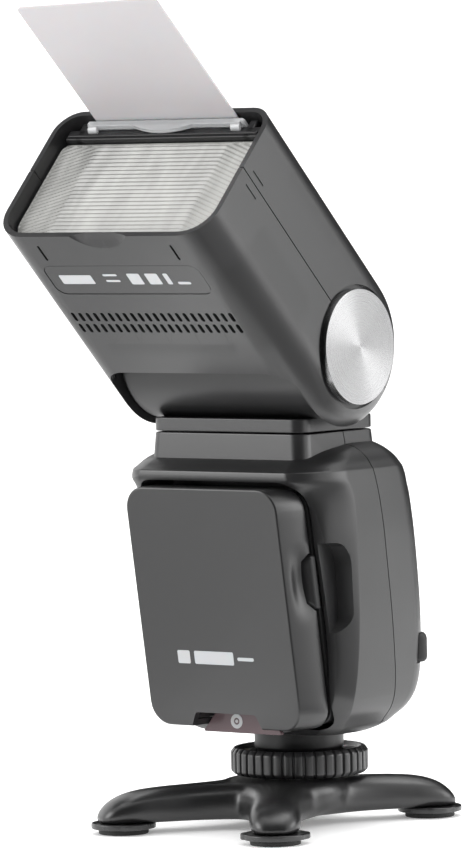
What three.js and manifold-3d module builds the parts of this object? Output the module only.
// A shoe-mount speedlight standing on its four-legged desk stand.
// Millimetres, +Z up, floor at Z = 0, lens side towards -Y, bounding box centred on the origin in X and Y.

import * as THREE from 'three';
import { mergeVertices } from 'three/addons/utils/BufferGeometryUtils.js';
import Module from 'manifold-3d';

const wasm = await Module();
wasm.setup();

// ---------------------------------------------------------------- driving dimensions

const GAP = 0.3; // running gap between neighbouring pieces

const STAND = {
  y: 15.8, // centre of the four feet
  footX: 27.2, // foot centre, sideways
  footY: 37.6, // foot centre, front to back
  legTop: 13.4,
  legBottom: 3.2,
  legWidth: 15,
  padRadius: 7.2,
  padHeight: 1.6,
  plateTop: 3.2,
  plateRadius: 8.4,
  earReach: 9.9,
};
const SHOE = { y: 26.8, width: 18.6, length: 18, floor: 10.4, ceiling: 12.7, mouth: 12.8 };
const WHEEL = { radius: 20, bottom: 14.1, top: 21.9, ribs: 40, bore: 13.5 };
const COLLAR_RADIUS = 13;
const LEAN = 0.164; // the body leans forward by this much per millimetre of height

const BODY = { bottom: 27.2, wall: 2.2, partingY: 14.0, partingZ: 114.8 };
const NECK = { y: 12.5, halfX: 27.3, halfY: 18.2, top: 114.5, corner: 4.45, draft: 0.07 };
const SWIVEL = { radius: 9 };
const TRUNNION = 6;
const PLATE = { bottom: 114.9, top: 118.8 };

const PACK = { frontY: -17.4, frontZ: 90.2 };
const BAY = { halfX: 29.7, bottom: 29.4, top: 100.4, depth: 24, wall: 1.5 };
const BUTTON = { bottom: 65, top: 80.4, depths: [7.6, 11.2], inner: 26, outer: 30.4, bevel: 2, slant: 1.4 };
const SCOOP = { bottom: 57.7, top: 83.8, floorX: 31.2, frontY: -16, backY: 5.1 };
const CELL = { radius: 9.1, length: 54, x: 10.4, depth: 12, z: 66 };
const NOTCH = { bottomHalf: 13, topHalf: 10.6, top: 34.4 };
const SENSOR = { bottom: 28, top: 34, bottomHalf: 14.2, topHalf: 9.4, y: -0.3, thickness: 1.6 };

const SWITCH = { x: -21, z: 51 };
const TEST = { x: 21, z: 51 };
const PORT = { x: 34.4, y: 41.1, heading: -52.6, bottom: 46.7, top: 55 };
const REAR = { y: 42, z: 73, lean: 0.128, dialY: 44.2, dialZ: 51, dialRadius: 10.5 };

const PIVOT = { y: 6.7, z: 139 };
const TILT = THREE.MathUtils.degToRad(44); // head angle in the resting pose
const HEAD = {
  halfX: 38,
  front: 72.7,
  top: 24.4,
  bottom: 24,
  corner: 8,
  lowerCorner: 10.5,
  wall: 1.5,
  parting: 1.5,
};
const DRUM = { radius: 21, halfX: 31.6, inner: 18 };
const YOKE_GAP = { halfX: 33, front: 15.3, rearTop: 15 };
const DISC = { radius: 16.4, pocket: 17.8, proud: 1.4, seat: 36.5 };
const LENS = { halfX: 35.6, bottom: -21.9, top: 15.6, front: 68.2, thickness: 2.2 };
const VENT = { count: 22, pitch: 2.67, width: 1.2, length: 3.6, rows: [39.1, 34.4] };
const CARD = {
  x: 0.2,
  width: 50.3,
  length: 60,
  tip: 117.2, // how far its tip stands out from the pivot
  z: 21.7,
  thickness: 0.6,
  lean: THREE.MathUtils.degToRad(-1.9),
};
const PANEL = { width: 56, length: 50, z: 20.1, thickness: 1.1, front: 72, lip: 3 };
const ZOOM = { screwX: 31.6, screwZ: -14, u: 41 };

// ---------------------------------------------------------------- solids and placing

function solid(geometry) {
  const bare = geometry.clone();
  bare.deleteAttribute('normal');
  bare.deleteAttribute('uv');
  const merged = mergeVertices(bare, 1e-4);
  const vertProperties = new Float32Array(merged.attributes.position.array);
  const corners = merged.index.array;
  const kept = [];
  for (let i = 0; i < corners.length; i += 3) {
    const [a, b, c] = corners.subarray(i, i + 3);
    if (a !== b && b !== c && c !== a) kept.push(a, b, c);
  }
  const triVerts = new Uint32Array(kept);
  const mesh = new wasm.Mesh({ numProp: 3, vertProperties, triVerts });
  mesh.merge();
  return new wasm.Manifold(mesh);
}

function geometryOf(body) {
  const mesh = body.getMesh();
  const geometry = new THREE.BufferGeometry();
  geometry.setAttribute('position', new THREE.BufferAttribute(new Float32Array(mesh.vertProperties), 3));
  geometry.setIndex(new THREE.BufferAttribute(new Uint32Array(mesh.triVerts), 1));
  geometry.computeVertexNormals();
  return geometry;
}

const join = (...bodies) => bodies.reduce((sum, body) => sum.add(body));
const cut = (base, ...tools) => tools.reduce((rest, tool) => rest.subtract(tool), base);

function box(x0, x1, y0, y1, z0, z1) {
  const geometry = new THREE.BoxGeometry(x1 - x0, y1 - y0, z1 - z0);
  return solid(geometry.translate((x0 + x1) / 2, (y0 + y1) / 2, (z0 + z1) / 2));
}

function rod(axis, radius, from, to, a = 0, b = 0, segments = 24) {
  const geometry = new THREE.CylinderGeometry(radius, radius, to - from, segments);
  const middle = (from + to) / 2;
  if (axis === 'x') geometry.rotateZ(-Math.PI / 2).translate(middle, a, b);
  if (axis === 'y') geometry.translate(a, middle, b);
  if (axis === 'z') geometry.rotateX(Math.PI / 2).translate(a, b, middle);
  return solid(geometry);
}

// A ring of [radius, height] points turned about the vertical line through (0, y).
function turned(profile, y = 0, segments = 40) {
  const outline = profile[0][0] > 0 ? [...profile, profile[0]] : profile;
  const points = outline.map(([radius, height]) => new THREE.Vector2(radius, height));
  const geometry = new THREE.LatheGeometry(points, segments);
  return solid(geometry.rotateX(Math.PI / 2).translate(0, y, 0));
}

// A rounded rectangle as a ring of [x, y] points, counter-clockwise, with cornerSteps per corner.
function roundedRing(halfX, y0, y1, frontRadiusX, frontRadiusY, rearRadius, cornerSteps = 4) {
  const frontY = Math.min(frontRadiusY, (y1 - y0) / 2 - 0.1);
  const rearY = Math.min(rearRadius, (y1 - y0) / 2 - 0.1);
  const corners = [
    [halfX, y1, rearRadius, rearY, 0],
    [-halfX, y1, rearRadius, rearY, 1],
    [-halfX, y0, frontRadiusX, frontY, 2],
    [halfX, y0, frontRadiusX, frontY, 3],
  ];
  const ring = [];
  for (const [x, y, rx, ry, quarter] of corners) {
    const cx = x - Math.sign(x) * rx;
    const cy = quarter < 2 ? y - ry : y + ry;
    for (let step = 0; step <= cornerSteps; step += 1) {
      const angle = ((quarter + step / cornerSteps) * Math.PI) / 2;
      ring.push([cx + rx * Math.cos(angle), cy + ry * Math.sin(angle)]);
    }
  }
  return ring;
}

// A closed skin through rings of [x, y] points at rising heights, all with the same number of points.
function loft(rings, heights) {
  const count = rings[0].length;
  const positions = rings.flatMap((ring, level) => ring.flatMap(([x, y]) => [x, y, heights[level]]));
  const index = [];
  for (let level = 0; level + 1 < rings.length; level += 1) {
    for (let i = 0; i < count; i += 1) {
      const a = level * count + i;
      const b = level * count + ((i + 1) % count);
      index.push(a, b, b + count, a, b + count, a + count);
    }
  }
  const last = (rings.length - 1) * count;
  const outline = rings[0].map(([x, y]) => new THREE.Vector2(x, y));
  for (const [a, b, c] of THREE.ShapeUtils.triangulateShape(outline, [])) {
    index.push(a, c, b, last + a, last + b, last + c);
  }
  const geometry = new THREE.BufferGeometry();
  geometry.setAttribute('position', new THREE.Float32BufferAttribute(positions, 3));
  geometry.setIndex(index);
  return solid(geometry);
}

function roundedShape(halfX, z0, z1, radius) {
  const shape = new THREE.Shape();
  shape.moveTo(-halfX + radius, z0);
  shape.lineTo(halfX - radius, z0);
  shape.absarc(halfX - radius, z0 + radius, radius, -Math.PI / 2, 0);
  shape.lineTo(halfX, z1 - radius);
  shape.absarc(halfX - radius, z1 - radius, radius, 0, Math.PI / 2);
  shape.lineTo(-halfX + radius, z1);
  shape.absarc(-halfX + radius, z1 - radius, radius, Math.PI / 2, Math.PI);
  shape.lineTo(-halfX, z0 + radius);
  shape.absarc(-halfX + radius, z0 + radius, radius, Math.PI, Math.PI * 1.5);
  return shape;
}

// A shape drawn in X and Z, extruded from y0 back to y1.
function slab(shape, y0, y1, curveSegments = 4) {
  const geometry = new THREE.ExtrudeGeometry(shape, { depth: y1 - y0, bevelEnabled: false, curveSegments });
  return solid(geometry.rotateX(Math.PI / 2).translate(0, y1, 0));
}

function piece(name, body, color, roughness = 0.6, metalness = 0) {
  const material = new THREE.MeshStandardMaterial({ color, roughness, metalness });
  const mesh = new THREE.Mesh(geometryOf(body), material);
  mesh.name = name;
  return mesh;
}

const PLASTIC = 0x3a3a3b;
const DARK = 0x1c1c1d;
const METAL = 0xc9cbcc;
const BRASS = 0xb8964a;
const BOARD = 0x1f5a3a;
const RUBBER = 0x141414;
const mirrorX = (body) => body.mirror([1, 0, 0]);

// ---------------------------------------------------------------- desk stand

// One arched leg: sections of [reach, half width, height of its top, corner radius] from the hub to the toe.
function standLeg(sideX, sideY) {
  const reach = Math.hypot(STAND.footX, STAND.footY);
  const half = STAND.legWidth / 2;
  const sections = [
    [0, half, STAND.legTop, 4],
    [reach - 7, half, STAND.legTop - 0.6, 4.5],
    [reach - 1, half, STAND.legTop - 1.8, 4.5],
    [reach + 3.5, half - 1, STAND.legTop - 4, 3.6],
    [reach + 6.2, half - 2.6, STAND.legTop - 7, 1.5],
  ];
  const rings = sections.map(([, width, top, radius]) => (
    roundedRing(width, STAND.legBottom, top, 1, 1, radius, 3)
  ));
  const heading = THREE.MathUtils.radToDeg(Math.atan2(sideY * STAND.footY, sideX * STAND.footX));
  const leg = loft(rings, sections.map(([distance]) => distance));
  return leg.rotate([90, 0, 0]).rotate([0, 0, heading + 90]).translate([0, STAND.y, 0]);
}

function footPlate(sideX, sideY) {
  const x = sideX * STAND.footX;
  const y = STAND.y + sideY * STAND.footY;
  const heading = Math.atan2(sideY * STAND.footY, sideX * STAND.footX) + Math.PI / 2;
  const round = rod('z', STAND.plateRadius, STAND.padHeight, STAND.plateTop, x, y, 28);
  const ear = 2.2;
  const ears = [-1, 1].map((end) => {
    const reach = end * (STAND.earReach - ear);
    const earX = x + reach * Math.cos(heading);
    const earY = y + reach * Math.sin(heading);
    return rod('z', ear, STAND.padHeight, STAND.plateTop, earX, earY, 12);
  });
  return join(round, ...ears);
}

function makeStand(group) {
  const corners = [[-1, -1], [1, -1], [-1, 1], [1, 1]];
  const hubProfile = [[0, 4], [15, 4], [19, 6], [19, 12], [17, STAND.legTop], [0, STAND.legTop]];
  const hub = turned(hubProfile, STAND.y + 3);
  const block = box(-14.5, 14.5, SHOE.y - 13, SHOE.y + 12, 6, STAND.legTop);
  const legs = corners.map(([x, y]) => join(standLeg(x, y), footPlate(x, y)));
  const rear = STAND.y + 60;
  const channelFront = SHOE.y - SHOE.length / 2 - 0.6;
  const channelHalf = SHOE.width / 2 + 0.4;
  const mouthHalf = SHOE.mouth / 2 + GAP;
  const channel = box(-channelHalf, channelHalf, channelFront, rear, SHOE.floor, SHOE.ceiling + 0.2);
  const mouth = box(-mouthHalf, mouthHalf, channelFront, rear, SHOE.ceiling, 20);
  const pinGroove = box(-2, 2, SHOE.y - 9, rear, SHOE.floor - 2.2, SHOE.floor + 0.5);
  const insertHole = rod('z', 5.3, -1, 8.5, 0, STAND.y);
  const ramp = box(-12.5, 12.5, 40, rear, 6, 20);
  const base = cut(join(hub, block, ...legs), channel, mouth, pinGroove, insertHole, ramp);
  group.add(piece('stand_base', base, RUBBER, 0.35));

  const insert = cut(turned([[2.9, 3.6], [4.9, 3.6], [4.9, 7.9], [2.9, 7.9]], STAND.y, 20));
  group.add(piece('tripod_insert', insert, BRASS, 0.3, 1));
  const names = ['pad_front_left', 'pad_front_right', 'pad_rear_left', 'pad_rear_right'];
  corners.forEach(([x, y], i) => {
    const padY = STAND.y + y * STAND.footY;
    const pad = rod('z', STAND.padRadius, 0, STAND.padHeight - 0.05, x * STAND.footX, padY);
    group.add(piece(names[i], pad, DARK, 0.9));
  });
}

// ---------------------------------------------------------------- shoe foot and locking wheel

function makeFoot(group) {
  const halfX = SHOE.width / 2;
  const halfY = SHOE.length / 2;
  const stemHalf = SHOE.mouth / 2 - GAP;
  const plate = box(-halfX, halfX, SHOE.y - halfY, SHOE.y + halfY, SHOE.floor + GAP, SHOE.ceiling - 0.2);
  const stem = box(-stemHalf, stemHalf, SHOE.y - 8, SHOE.y + 8, SHOE.ceiling - GAP, 16);
  const flange = rod('z', 12.4, 15.9, 17.2, 0, SHOE.y, 36);
  const contactWindow = box(-3.6, 3.6, SHOE.y - 5.7, SHOE.y + 3.5, 9, 20);
  const pinHole = rod('z', 1.3, 9, 20, 0, SHOE.y - 7.6, 12);
  const cableHole = rod('z', 2.2, 9, 20, 4.8, SHOE.y + 5.6, 12);
  const foot = cut(join(plate, stem, flange), contactWindow, pinHole, cableHole);
  group.add(piece('shoe_foot', foot, METAL, 0.3, 1));

  const insulator = box(-3.4, 3.4, SHOE.y - 5.5, SHOE.y + 3.3, SHOE.floor + 0.4, 17);
  const spots = [[-2.2, -4.2], [2.2, -4.2], [-2.2, 1.6], [2.2, 1.6]];
  const smallHoles = spots.map(([x, y]) => rod('z', 0.75, 9, 20, x, SHOE.y + y, 10));
  const centreHole = rod('z', 1.5, 9, 20, 0, SHOE.y - 1.5, 16);
  group.add(piece('contact_block', cut(insulator, centreHole, ...smallHoles), DARK));
  const centre = rod('z', 1.3, SHOE.floor + 0.25, 16.6, 0, SHOE.y - 1.5, 16);
  group.add(piece('contact_centre', centre, BRASS, 0.3, 1));
  spots.forEach(([x, y], i) => {
    const pin = rod('z', 0.6, SHOE.floor + 0.3, 16.6, x, SHOE.y + y, 10);
    group.add(piece(`contact_side_${i + 1}`, pin, BRASS, 0.3, 1));
  });

  const collarTop = BODY.bottom - 0.1;
  const outside = [[9.8, 17.4], [12.2, 17.4], [12.2, 21], [COLLAR_RADIUS, 22], [COLLAR_RADIUS, collarTop]];
  const inside = [[8, collarTop], [8, 20], [9.8, 20]];
  group.add(piece('foot_collar', turned([...outside, ...inside], SHOE.y), PLASTIC, 0.5));
}

function makeWheel(group) {
  const outline = new THREE.Shape();
  const steps = [[0, 0], [0.72, 0], [0.76, 0.8], [0.96, 0.8]];
  for (let rib = 0; rib < WHEEL.ribs; rib += 1) {
    for (const [part, groove] of steps) {
      const angle = ((rib + part) / WHEEL.ribs) * Math.PI * 2;
      const radius = WHEEL.radius - groove;
      const point = [radius * Math.cos(angle), radius * Math.sin(angle)];
      if (rib === 0 && part === 0) outline.moveTo(...point);
      else outline.lineTo(...point);
    }
  }
  const depth = WHEEL.top - WHEEL.bottom;
  const geometry = new THREE.ExtrudeGeometry(outline, { depth, bevelEnabled: false });
  const ribbed = solid(geometry.translate(0, SHOE.y, WHEEL.bottom));
  const bore = rod('z', WHEEL.bore, WHEEL.bottom + 1.5, WHEEL.top + 1, 0, SHOE.y, 36);
  const lowerBore = rod('z', 10.6, WHEEL.bottom - 1, WHEEL.bottom + 3, 0, SHOE.y, 32);
  const [dishFloor, above] = [WHEEL.top - 1.4, WHEEL.top + 1];
  const dish = turned([[13, dishFloor], [17.2, dishFloor], [18.2, above], [13, above]], SHOE.y);
  group.add(piece('lock_wheel', cut(ribbed, bore, lowerBore, dish), PLASTIC, 0.6));
  const pin = rod('z', 1, SHOE.floor - 1.2, 14.6, 0, SHOE.y - 7.6, 12);
  group.add(piece('lock_pin', pin, METAL, 0.3, 1));
}

// ---------------------------------------------------------------- body

// Height, half width, front and rear of the body's outline, and its front corners' size in X and Y.
const BODY_LEVELS = [
  [27.2, 23.0, 9.0, 29.0, 5, 5],
  [28.4, 27.0, 6.5, 34.0, 5, 5],
  [31.4, 29.8, 4.6, 38.5, 5, 4.5],
  [34.5, 32.8, 3.7, 41.6, 5, 4.5],
  [38.5, 34.6, 3.3, 43.6, 5, 4.5],
  [44.0, 35.8, 3.4, 44.6, 5, 4.5],
  [57.0, 36.9, 2.6, 43.9, 5, 5],
  [73.0, 37.5, 0.0, 42.0, 5.5, 6.5],
  [84.0, 37.8, -2.5, 40.2, 6, 8.5],
  [89.0, 37.8, -3.4, 39.5, 6.5, 9],
  [94.0, 37.6, -5.2, 38.7, 8, 10.5],
  [98.0, 37.3, -8.6, 38.0, 11, 14],
  [101.2, 36.8, -12.4, 37.3, 12, 16],
  [104.3, 35.6, -12.2, 35.9, 12, 15],
  [107.0, 33.8, -7.5, 33.8, 11, 14],
  [109.2, 31.6, 2.0, 32.2, 10, 12],
  [111.0, 28.4, 13.0, 31.0, 6, 6],
];

function bodySolid(inset) {
  const rings = BODY_LEVELS.map(([, halfX, front, rear, cornerX, cornerY]) => (
    roundedRing(halfX - inset, front + inset, rear - inset, cornerX - inset, cornerY - inset, 8 - inset)
  ));
  const heights = BODY_LEVELS.map(([z]) => z);
  heights[0] += inset;
  heights[heights.length - 1] -= inset;
  return loft(rings, heights);
}

function neckSolid(inset, bottom) {
  const heights = [bottom, NECK.top - inset];
  const corner = NECK.corner - inset / 2;
  const rings = heights.map((z) => {
    const grow = (NECK.top - z) * NECK.draft - inset;
    const halfY = NECK.halfY + grow;
    return roundedRing(NECK.halfX + grow, NECK.y - halfY, NECK.y + halfY, corner, corner, corner);
  });
  return loft(rings, heights);
}

// Everything in front of the leaning parting plane, moved back by the given amount.
function frontHalf(shift) {
  const half = new THREE.BoxGeometry(200, 200, 400).translate(0, -100, 0);
  half.rotateX(Math.atan(LEAN));
  return solid(half.translate(0, BODY.partingY + shift, BODY.partingZ));
}

// A block that leans with the front of the body: depth runs backwards from the cover's face.
function leaning(body) {
  return body.transform([1, 0, 0, 0, 0, 1, 0, 0, 0, -LEAN, 1, 0, 0, PACK.frontY + LEAN * PACK.frontZ, 0, 1]);
}

function scoop(grow) {
  const z0 = SCOOP.bottom - grow;
  const z1 = SCOOP.top + grow;
  const back = SCOOP.backY + grow;
  const bevel = 4;
  const shape = new THREE.Shape();
  shape.moveTo(SCOOP.frontY, z0);
  shape.lineTo(back - bevel, z0);
  shape.lineTo(back, z0 + bevel);
  shape.lineTo(back - 1.5, z1 - bevel);
  shape.lineTo(back - bevel, z1);
  shape.lineTo(SCOOP.frontY, z1);
  const geometry = new THREE.ExtrudeGeometry(shape, { depth: 20, bevelEnabled: false });
  geometry.rotateX(Math.PI / 2).rotateZ(Math.PI / 2);
  return solid(geometry.translate(SCOOP.floorX - grow, 0, 0));
}

// The outline between two half widths, wide at the bottom, as an upright slab from y0 back to y1.
function trapezoid(bottomHalf, topHalf, z0, z1, y0, y1) {
  const shape = new THREE.Shape();
  shape.moveTo(-bottomHalf, z0);
  shape.lineTo(bottomHalf, z0);
  shape.lineTo(topHalf, z1);
  shape.lineTo(-topHalf, z1);
  return slab(shape, y0, y1);
}

function bodyCase() {
  const chin = box(-12.5, 12.5, 1.6, 12, 28.6, SENSOR.top - 0.4);
  const outer = join(bodySolid(0), neckSolid(0, 104), chin);
  const scoops = (grow) => join(scoop(grow), mirrorX(scoop(grow)));
  const bayOuter = BAY.halfX + BAY.wall;
  const bayBlock = box(-bayOuter, bayOuter, 0, BAY.depth + BAY.wall, 20, BAY.top + BAY.wall);
  const bay = box(-BAY.halfX, BAY.halfX, -12, BAY.depth, BAY.bottom, BAY.top);
  const cavity = cut(join(bodySolid(BODY.wall), neckSolid(BODY.wall, 100)), scoops(1.8), leaning(bayBlock));
  const swivelHole = rod('z', SWIVEL.radius + 0.4, 105, 120, 0, NECK.y, 32);
  const cableHole = rod('z', 7.6, 20, 40, 0, SHOE.y, 28);
  const housingHalf = SENSOR.topHalf - 1.5;
  const housing = box(-housingHalf, housingHalf, 2.2, 16, BAY.bottom - 0.5, SENSOR.top - 0.4);
  return cut(outer, cavity, cut(leaning(bay), housing), scoops(0), swivelHole, cableHole);
}

// A block drawn against the rear face: Y = 0 is the surface, positive outwards, leaning with it.
function onRear(body) {
  return body.transform([1, 0, 0, 0, 0, 1, 0, 0, 0, -REAR.lean, 1, 0, 0, REAR.y + REAR.lean * REAR.z, 0, 1]);
}

const KEYS = [-19.5, -6.5, 6.5, 19.5].map((x) => ({ x, z: 66.5 }));

function keyBlock(x, z, grow, y0, y1) {
  return onRear(box(x - 4.3 - grow, x + 4.3 + grow, y0, y1, z - 2.4 - grow, z + 2.4 + grow));
}

// A block set square to the rounded corner between the +X side and the rear.
function onCorner(body) {
  return body.rotate([0, 0, PORT.heading]).translate([PORT.x, PORT.y, 0]);
}

function makeBody(group) {
  const shell = bodyCase();
  group.add(piece('body_front_shell', shell.intersect(frontHalf(-GAP / 2)), PLASTIC));

  const screenPocket = onRear(box(-26, 26, -1.2, 5, 72.4, 99));
  const screenWindow = onRear(box(-22.5, 22.5, -8, 5, 74.5, 96.5));
  const keyHoles = KEYS.map(({ x, z }) => keyBlock(x, z, 0.3, -8, 5));
  const dialBoss = rod('y', REAR.dialRadius + 2.2, REAR.dialY - 5.4, REAR.dialY - 1.5, 0, REAR.dialZ, 32);
  const dialPocket = rod('y', REAR.dialRadius + 0.4, REAR.dialY - 3.2, 60, 0, REAR.dialZ, 32);
  const switchSlot = box(SWITCH.x - 2.3, SWITCH.x + 2.3, 38, 50, SWITCH.z - 4.4, SWITCH.z + 4.4);
  const lampHole = rod('y', 3.7, 38, 50, TEST.x, TEST.z, 20);
  const portPocket = cut(onCorner(box(-4.9, 4.9, -6, 5, PORT.bottom - 0.3, PORT.top + 0.3)), bodySolid(1.7));
  const rear = join(cut(shell, frontHalf(GAP / 2)), dialBoss);
  const holes = [screenPocket, screenWindow, ...keyHoles, dialPocket, switchSlot, lampHole, portPocket];
  group.add(piece('body_rear_shell', cut(rear, ...holes), PLASTIC));

  const windowBack = SENSOR.y + SENSOR.thickness;
  const { bottomHalf, topHalf, bottom, top } = SENSOR;
  const sensorWindow = trapezoid(bottomHalf, topHalf, bottom, top, SENSOR.y, windowBack);
  group.add(piece('sensor_window', sensorWindow, 0x7a6a6e, 0.25));
  group.add(piece('sensor_lens', rod('y', 1.6, windowBack + 0.05, 2.15, -2, 31.4, 16), 0xb9aeb1, 0.3));

  group.add(piece('screen_window', onRear(box(-25.7, 25.7, -1.15, -0.05, 72.7, 98.7)), 0x101214, 0.1));
  group.add(piece('screen_module', onRear(box(-22, 22, -5.6, -2.4, 75, 96)), 0x8fa08c, 0.4));
  group.add(piece('main_board', box(-25, 25, 22, 23.6, 50, 96), BOARD));
  group.add(piece('main_capacitor', rod('x', 7.2, -19, 19, 29, 41, 28), 0x24324a, 0.4));
  const retainer = turned([[8.3, 109.4], [12, 109.4], [12, 111.9], [8.3, 111.9]], NECK.y, 28);
  group.add(piece('swivel_retainer', retainer, METAL, 0.4, 1));
}

function makeControls(group) {
  KEYS.forEach(({ x, z }, i) => group.add(piece(`key_${i + 1}`, keyBlock(x, z, 0, -3.4, 0.9), DARK, 0.7)));
  const radius = REAR.dialRadius;
  const face = REAR.dialY + 1.3;
  const dialHole = rod('y', 6.4, 30, 60, 0, REAR.dialZ, 28);
  const ring = cut(rod('y', radius, REAR.dialY - 2.9, face, 0, REAR.dialZ, 36), dialHole);
  group.add(piece('select_dial', ring, DARK, 0.5));
  group.add(piece('set_button', rod('y', 6, REAR.dialY - 1.8, face - 0.4, 0, REAR.dialZ, 28), PLASTIC, 0.5));
  const slider = box(SWITCH.x - 2, SWITCH.x + 2, 40.6, 45.3, SWITCH.z - 4, SWITCH.z + 1);
  group.add(piece('power_switch', slider, DARK, 0.7));
  group.add(piece('test_button', rod('y', 3.4, 41, 44.9, TEST.x, TEST.z, 20), 0x8a1f1a, 0.4));
  const portBlock = onCorner(box(-4.6, 4.6, -6, 5, PORT.bottom, PORT.top));
  const cover = cut(portBlock.intersect(bodySolid(-1)), bodySolid(1.4));
  group.add(piece('port_cover', cover, RUBBER, 0.9));
}

// ---------------------------------------------------------------- battery pack

// Depth behind the cover's face, half width, bottom, top and corner radius.
const PACK_LEVELS = [
  [0, 25.0, 31.5, 98.3, 5.4],
  [1.4, 26.4, 30.2, 99.6, 6.6],
  [10.4, 29.3, 30.2, 99.6, 6.6],
];

function packSolid(inset, levels) {
  const rings = levels.map(([, halfX, z0, z1, radius]) => {
    const corner = Math.max(radius - inset, 1);
    return roundedRing(halfX - inset, -z1 + inset, -z0 - inset, corner, corner, corner);
  });
  return leaning(loft(rings, levels.map(([depth]) => depth)).rotate([-90, 0, 0]));
}

function buttonBlock(grow) {
  const [d0, d1] = BUTTON.depths;
  const [z0, z1] = [BUTTON.bottom - grow, BUTTON.top + grow];
  const [y0, y1] = [d0 - grow, d1 + grow];
  const shape = new THREE.Shape();
  shape.moveTo(y0, z0 + BUTTON.bevel);
  shape.lineTo(y0 + BUTTON.bevel, z0);
  shape.lineTo(y1, z0);
  shape.lineTo(y1, z1);
  shape.lineTo(y0 + BUTTON.bevel, z1);
  shape.lineTo(y0, z1 - BUTTON.bevel);
  const depth = BUTTON.outer - BUTTON.inner + 4 * grow;
  const geometry = new THREE.ExtrudeGeometry(shape, { depth, bevelEnabled: false });
  geometry.rotateX(Math.PI / 2).rotateZ(Math.PI / 2).translate(BUTTON.inner - 2 * grow, 0, 0);
  return leaning(solid(geometry));
}

function makePack(group) {
  const notch = trapezoid(NOTCH.bottomHalf + 0.6, NOTCH.topHalf, 28, NOTCH.top, -30, 40);
  const hollow = packSolid(1.8, [[1.9, 26.4, 30.2, 99.6, 6.6], [12, 29.8, 30.2, 99.6, 6.6]]);
  const holes = join(buttonBlock(0.3), mirrorX(buttonBlock(0.3)));
  group.add(piece('battery_cover', cut(packSolid(0, PACK_LEVELS), hollow, notch, holes), PLASTIC, 0.65));

  const caseLevels = [
    [2.3, 24, 32.4, 97.4, 5],
    [11.7, 24.6, 32.4, 97.4, 5],
    [12.2, 28.8, 31.2, 98.6, 5],
    [23.4, 28.8, 31.2, 98.6, 5],
  ];
  const trayLevels = [[0, 22.6, 35.9, 96, 4], [22, 23.4, 35.9, 96, 4]];
  const tray = cut(packSolid(0, caseLevels), packSolid(0, trayLevels), notch);
  group.add(piece('battery_case', tray, DARK, 0.7));
  const half = CELL.length / 2;
  const lean = THREE.MathUtils.radToDeg(Math.atan(LEAN));
  const y = PACK.frontY + LEAN * (PACK.frontZ - CELL.z) + CELL.depth;
  [-1, 1].forEach((side, i) => {
    const cell = rod('z', CELL.radius, -half, half, side * CELL.x, 0, 24).rotate([lean, 0, 0]);
    group.add(piece(`battery_cell_${i + 1}`, cell.translate([0, y, CELL.z]), 0x3d6ea8, 0.5));
  });
}

function makeReleases(group) {
  const corner = box(-10, 10, 0, 10, BUTTON.bottom - 1, BUTTON.top + 1).rotate([0, 0, -135]);
  const slant = corner.translate([BUTTON.outer - BUTTON.slant, BUTTON.depths[0], 0]);
  const button = cut(buttonBlock(0), leaning(slant));
  group.add(piece('release_right', button, PLASTIC, 0.6));
  group.add(piece('release_left', mirrorX(button), PLASTIC, 0.6));
}

// ---------------------------------------------------------------- turret and yoke

function makeTurret(group) {
  const { halfX, halfY, corner } = NECK;
  const plateShape = roundedRing(halfX, NECK.y - halfY, NECK.y + halfY, corner, corner, corner);
  const plate = loft([plateShape, plateShape], [PLATE.bottom, PLATE.top]);
  const end = DRUM.halfX;
  const rim = DRUM.radius - 1;
  const outside = [[5, -end], [rim, -end], [DRUM.radius, 1 - end], [DRUM.radius, end - 1], [rim, end]];
  const inside = [[5, end], [5, end - 2], [DRUM.inner, end - 2], [DRUM.inner, 2 - end], [5, 2 - end]];
  const drum = turned([...outside, ...inside], 0, 48).rotate([0, 90, 0]).translate([0, PIVOT.y, PIVOT.z]);
  const bore = rod('z', 5, 110, 125, 0, NECK.y, 24);
  group.add(piece('yoke', cut(join(plate, drum), bore), PLASTIC));
  const shaftTop = PLATE.bottom - 0.05;
  const outer = SWIVEL.radius;
  const shaft = turned([[5.2, 105], [outer, 105], [outer, shaftTop], [5.2, shaftTop]], NECK.y, 28);
  const groove = turned([[8, 109], [20, 109], [20, 112.3], [8, 112.3]], NECK.y, 28);
  group.add(piece('swivel_shaft', cut(shaft, groove), METAL, 0.35, 1));
  [-1, 1].forEach((side, i) => {
    const profileX = [[3.4, 31.8], [TRUNNION, 31.8], [TRUNNION, 36.2], [3.4, 36.2]];
    const stub = turned(profileX, 0, 24).rotate([0, 90, 0]).translate([0, PIVOT.y, PIVOT.z]);
    group.add(piece(`trunnion_${['left', 'right'][i]}`, side < 0 ? mirrorX(stub) : stub, METAL, 0.35, 1));
  });
}

// ---------------------------------------------------------------- head, about its pivot, lens towards -Y

// A long rounded block that rounds off the head's two lower edges.
function lowerRounding(inset) {
  const shape = roundedShape(HEAD.halfX - inset, inset - HEAD.bottom, 60, HEAD.lowerCorner - inset);
  return slab(shape, -HEAD.front - 20, 60, 3);
}

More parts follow.
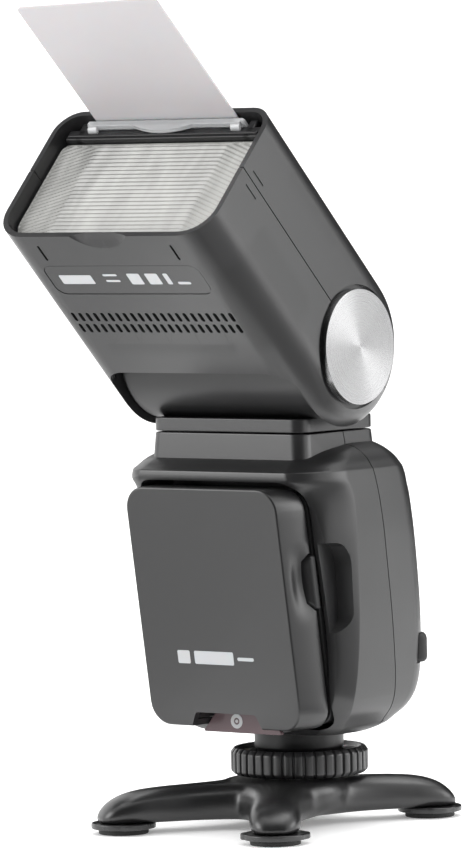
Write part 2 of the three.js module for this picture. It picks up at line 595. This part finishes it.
function headSolid(inset) {
  const top = HEAD.top - inset;
  const bottom = HEAD.bottom - inset;
  const radius = (top + bottom) / 2;
  const centre = (top - bottom) / 2;
  const shape = new THREE.Shape();
  shape.moveTo(-HEAD.front - 20, -bottom);
  shape.lineTo(0, -bottom);
  shape.absarc(0, centre, radius, -Math.PI / 2, Math.PI / 2);
  shape.lineTo(-HEAD.front - 20, top);
  const bevel = HEAD.corner - inset * 0.7;
  const geometry = new THREE.ExtrudeGeometry(shape, {
    depth: 2 * (HEAD.halfX - inset - bevel),
    bevelEnabled: true,
    bevelThickness: bevel,
    bevelSize: bevel,
    bevelOffset: -bevel,
    bevelSegments: 3,
    curveSegments: 14,
  });
  geometry.rotateX(Math.PI / 2).rotateZ(Math.PI / 2).translate(-HEAD.halfX + inset + bevel, 0, 0);
  return solid(geometry).intersect(lowerRounding(inset));
}

function yokeOpening() {
  const radius = 8;
  const front = -YOKE_GAP.front;
  const half = YOKE_GAP.halfX;
  const shape = new THREE.Shape();
  shape.moveTo(half, 40);
  shape.lineTo(-half, 40);
  shape.lineTo(-half, front + radius);
  shape.absarc(-half + radius, front + radius, radius, Math.PI, Math.PI * 1.5);
  shape.lineTo(half - radius, front);
  shape.absarc(half - radius, front + radius, radius, Math.PI * 1.5, Math.PI * 2);
  const depth = 30 + YOKE_GAP.rearTop;
  const geometry = new THREE.ExtrudeGeometry(shape, { depth, bevelEnabled: false, curveSegments: 5 });
  return solid(geometry.translate(0, 0, -30));
}

function ventSlots() {
  const first = (-(VENT.count - 1) / 2) * VENT.pitch;
  const slots = [];
  for (const row of VENT.rows) {
    for (let i = 0; i < VENT.count; i += 1) {
      const x = first + i * VENT.pitch;
      const half = VENT.width / 2;
      slots.push(box(x - half, x + half, -row - VENT.length / 2, -row + VENT.length / 2, -30, -20));
    }
  }
  return slots;
}

function makeHead(group) {
  const outer = cut(headSolid(0), box(-50, 50, -110, -HEAD.front, -40, 40));
  const cheek = rod('x', 22.6, 32, 37.2, 0, 0, 40).intersect(outer);
  const skin = cut(outer, headSolid(HEAD.wall));
  const discPocket = rod('x', DISC.pocket, DISC.seat, 60, 0, 0, 44);
  const bores = join(rod('x', TRUNNION + 0.4, -60, 60, 0, 0, 28), discPocket, mirrorX(discPocket));
  const shell = cut(join(skin, cheek, mirrorX(cheek)), yokeOpening(), bores);
  const notch = rod('z', 13, -30, -20, 0, -HEAD.front - 8.2, 32);
  const above = box(-60, 60, -120, 60, HEAD.parting + GAP / 2, 60);
  const below = box(-60, 60, -120, 60, -60, HEAD.parting - GAP / 2);
  group.add(piece('head_upper_shell', shell.intersect(above), PLASTIC));
  group.add(piece('head_lower_shell', cut(shell.intersect(below), notch, ...ventSlots()), PLASTIC));

  const lensOutline = roundedShape(LENS.halfX, LENS.bottom, LENS.top, 6);
  const lens = slab(lensOutline, -LENS.front, -LENS.front + LENS.thickness);
  group.add(piece('fresnel_lens', lens.intersect(lowerRounding(HEAD.wall + GAP)), 0xd9d9d2, 0.2));
  const bar = box(-34.4, 34.4, -70, -62, 15.9, 19.6);
  const rail = box(28.5, 31.2, -70, -30, 15.9, 22.2);
  group.add(piece('slot_frame', join(bar, rail, mirrorX(rail)), DARK, 0.5));
  [-1, 1].forEach((side, i) => {
    const cap = rod('x', DISC.radius, DISC.seat + 0.3, HEAD.halfX + DISC.proud, 0, 0, 48);
    group.add(piece(`tilt_disc_${['left', 'right'][i]}`, side < 0 ? mirrorX(cap) : cap, METAL, 0.3, 1));
  });
  group.add(piece('trigger_board', box(-26, 26, -62, -28, -21.9, -20.3), BOARD));
  group.add(piece('zoom_motor', rod('y', 3.5, -64, -53, ZOOM.screwX, ZOOM.screwZ, 20), METAL, 0.4, 1));
  group.add(piece('guide_rod', rod('y', 1.4, -63, -25, -ZOOM.screwX, ZOOM.screwZ, 14), METAL, 0.3, 1));
  group.add(piece('zoom_screw', rod('y', 1.4, -52.7, -25, ZOOM.screwX, ZOOM.screwZ, 14), BRASS, 0.3, 1));
}

function makeCarriage(group) {
  const mouth = ZOOM.u + 9;
  const back = ZOOM.u - 7;
  const bowl = (inset, y0, y1) => {
    const ring = (halfX, halfZ) => {
      const reach = halfZ - inset;
      return roundedRing(halfX - inset, 3 - reach, 3 + reach, 4, 4, 4, 3);
    };
    return loft([ring(22, 6), ring(28, 15)], [y0, y1]).rotate([90, 0, 0]);
  };
  const tubeHole = rod('x', 2.3, -40, 40, -back - 4.5, -3, 16);
  const reflector = cut(bowl(0, back, mouth), bowl(1.2, back + 1.2, mouth + 0.1), tubeHole);
  group.add(piece('reflector', reflector, METAL, 0.15, 1));
  group.add(piece('flash_tube', rod('x', 2, -27, 27, -back - 4.5, -3, 16), 0xe6ecef, 0.1));
  const strip = box(-34.2, 34.2, -back + 0.3, -back + 3.2, -17, -10.6);
  const holes = [-1, 1].map((side) => rod('y', 1.75, -60, 0, side * ZOOM.screwX, ZOOM.screwZ, 14));
  group.add(piece('zoom_carriage', cut(strip, ...holes), DARK));
}

function makeSlides(group) {
  const card = new THREE.BoxGeometry(CARD.width, CARD.length, CARD.thickness);
  card.translate(0, -CARD.length / 2, 0).rotateZ(CARD.lean);
  card.translate(CARD.x, -CARD.tip + CARD.length, CARD.z + CARD.thickness / 2);
  group.add(piece('bounce_card', solid(card), 0xd6d8dc, 0.5));
  const half = PANEL.width / 2;
  const edge = -PANEL.front;
  const sheet = box(-half, half, edge, edge + PANEL.length, PANEL.z, PANEL.z + PANEL.thickness);
  const lip = rod('y', 13, edge, edge + 1, 0, PANEL.z + 9.8, 32);
  const tab = lip.intersect(box(-12, 12, edge - 1, edge + 2, PANEL.z - PANEL.lip, PANEL.z + 0.5));
  group.add(piece('wide_panel', join(sheet, tab), 0xdfe4e6, 0.1));
}

// ---------------------------------------------------------------- assembly

const flash = new THREE.Group();
makeStand(flash);
makeFoot(flash);
makeWheel(flash);
makeBody(flash);
makeControls(flash);
makePack(flash);
makeReleases(flash);
makeTurret(flash);

const head = new THREE.Group();
head.position.set(0, PIVOT.y, PIVOT.z);
head.rotation.x = -TILT;
makeHead(head);
makeCarriage(head);
makeSlides(head);
flash.add(head);

export default flash;
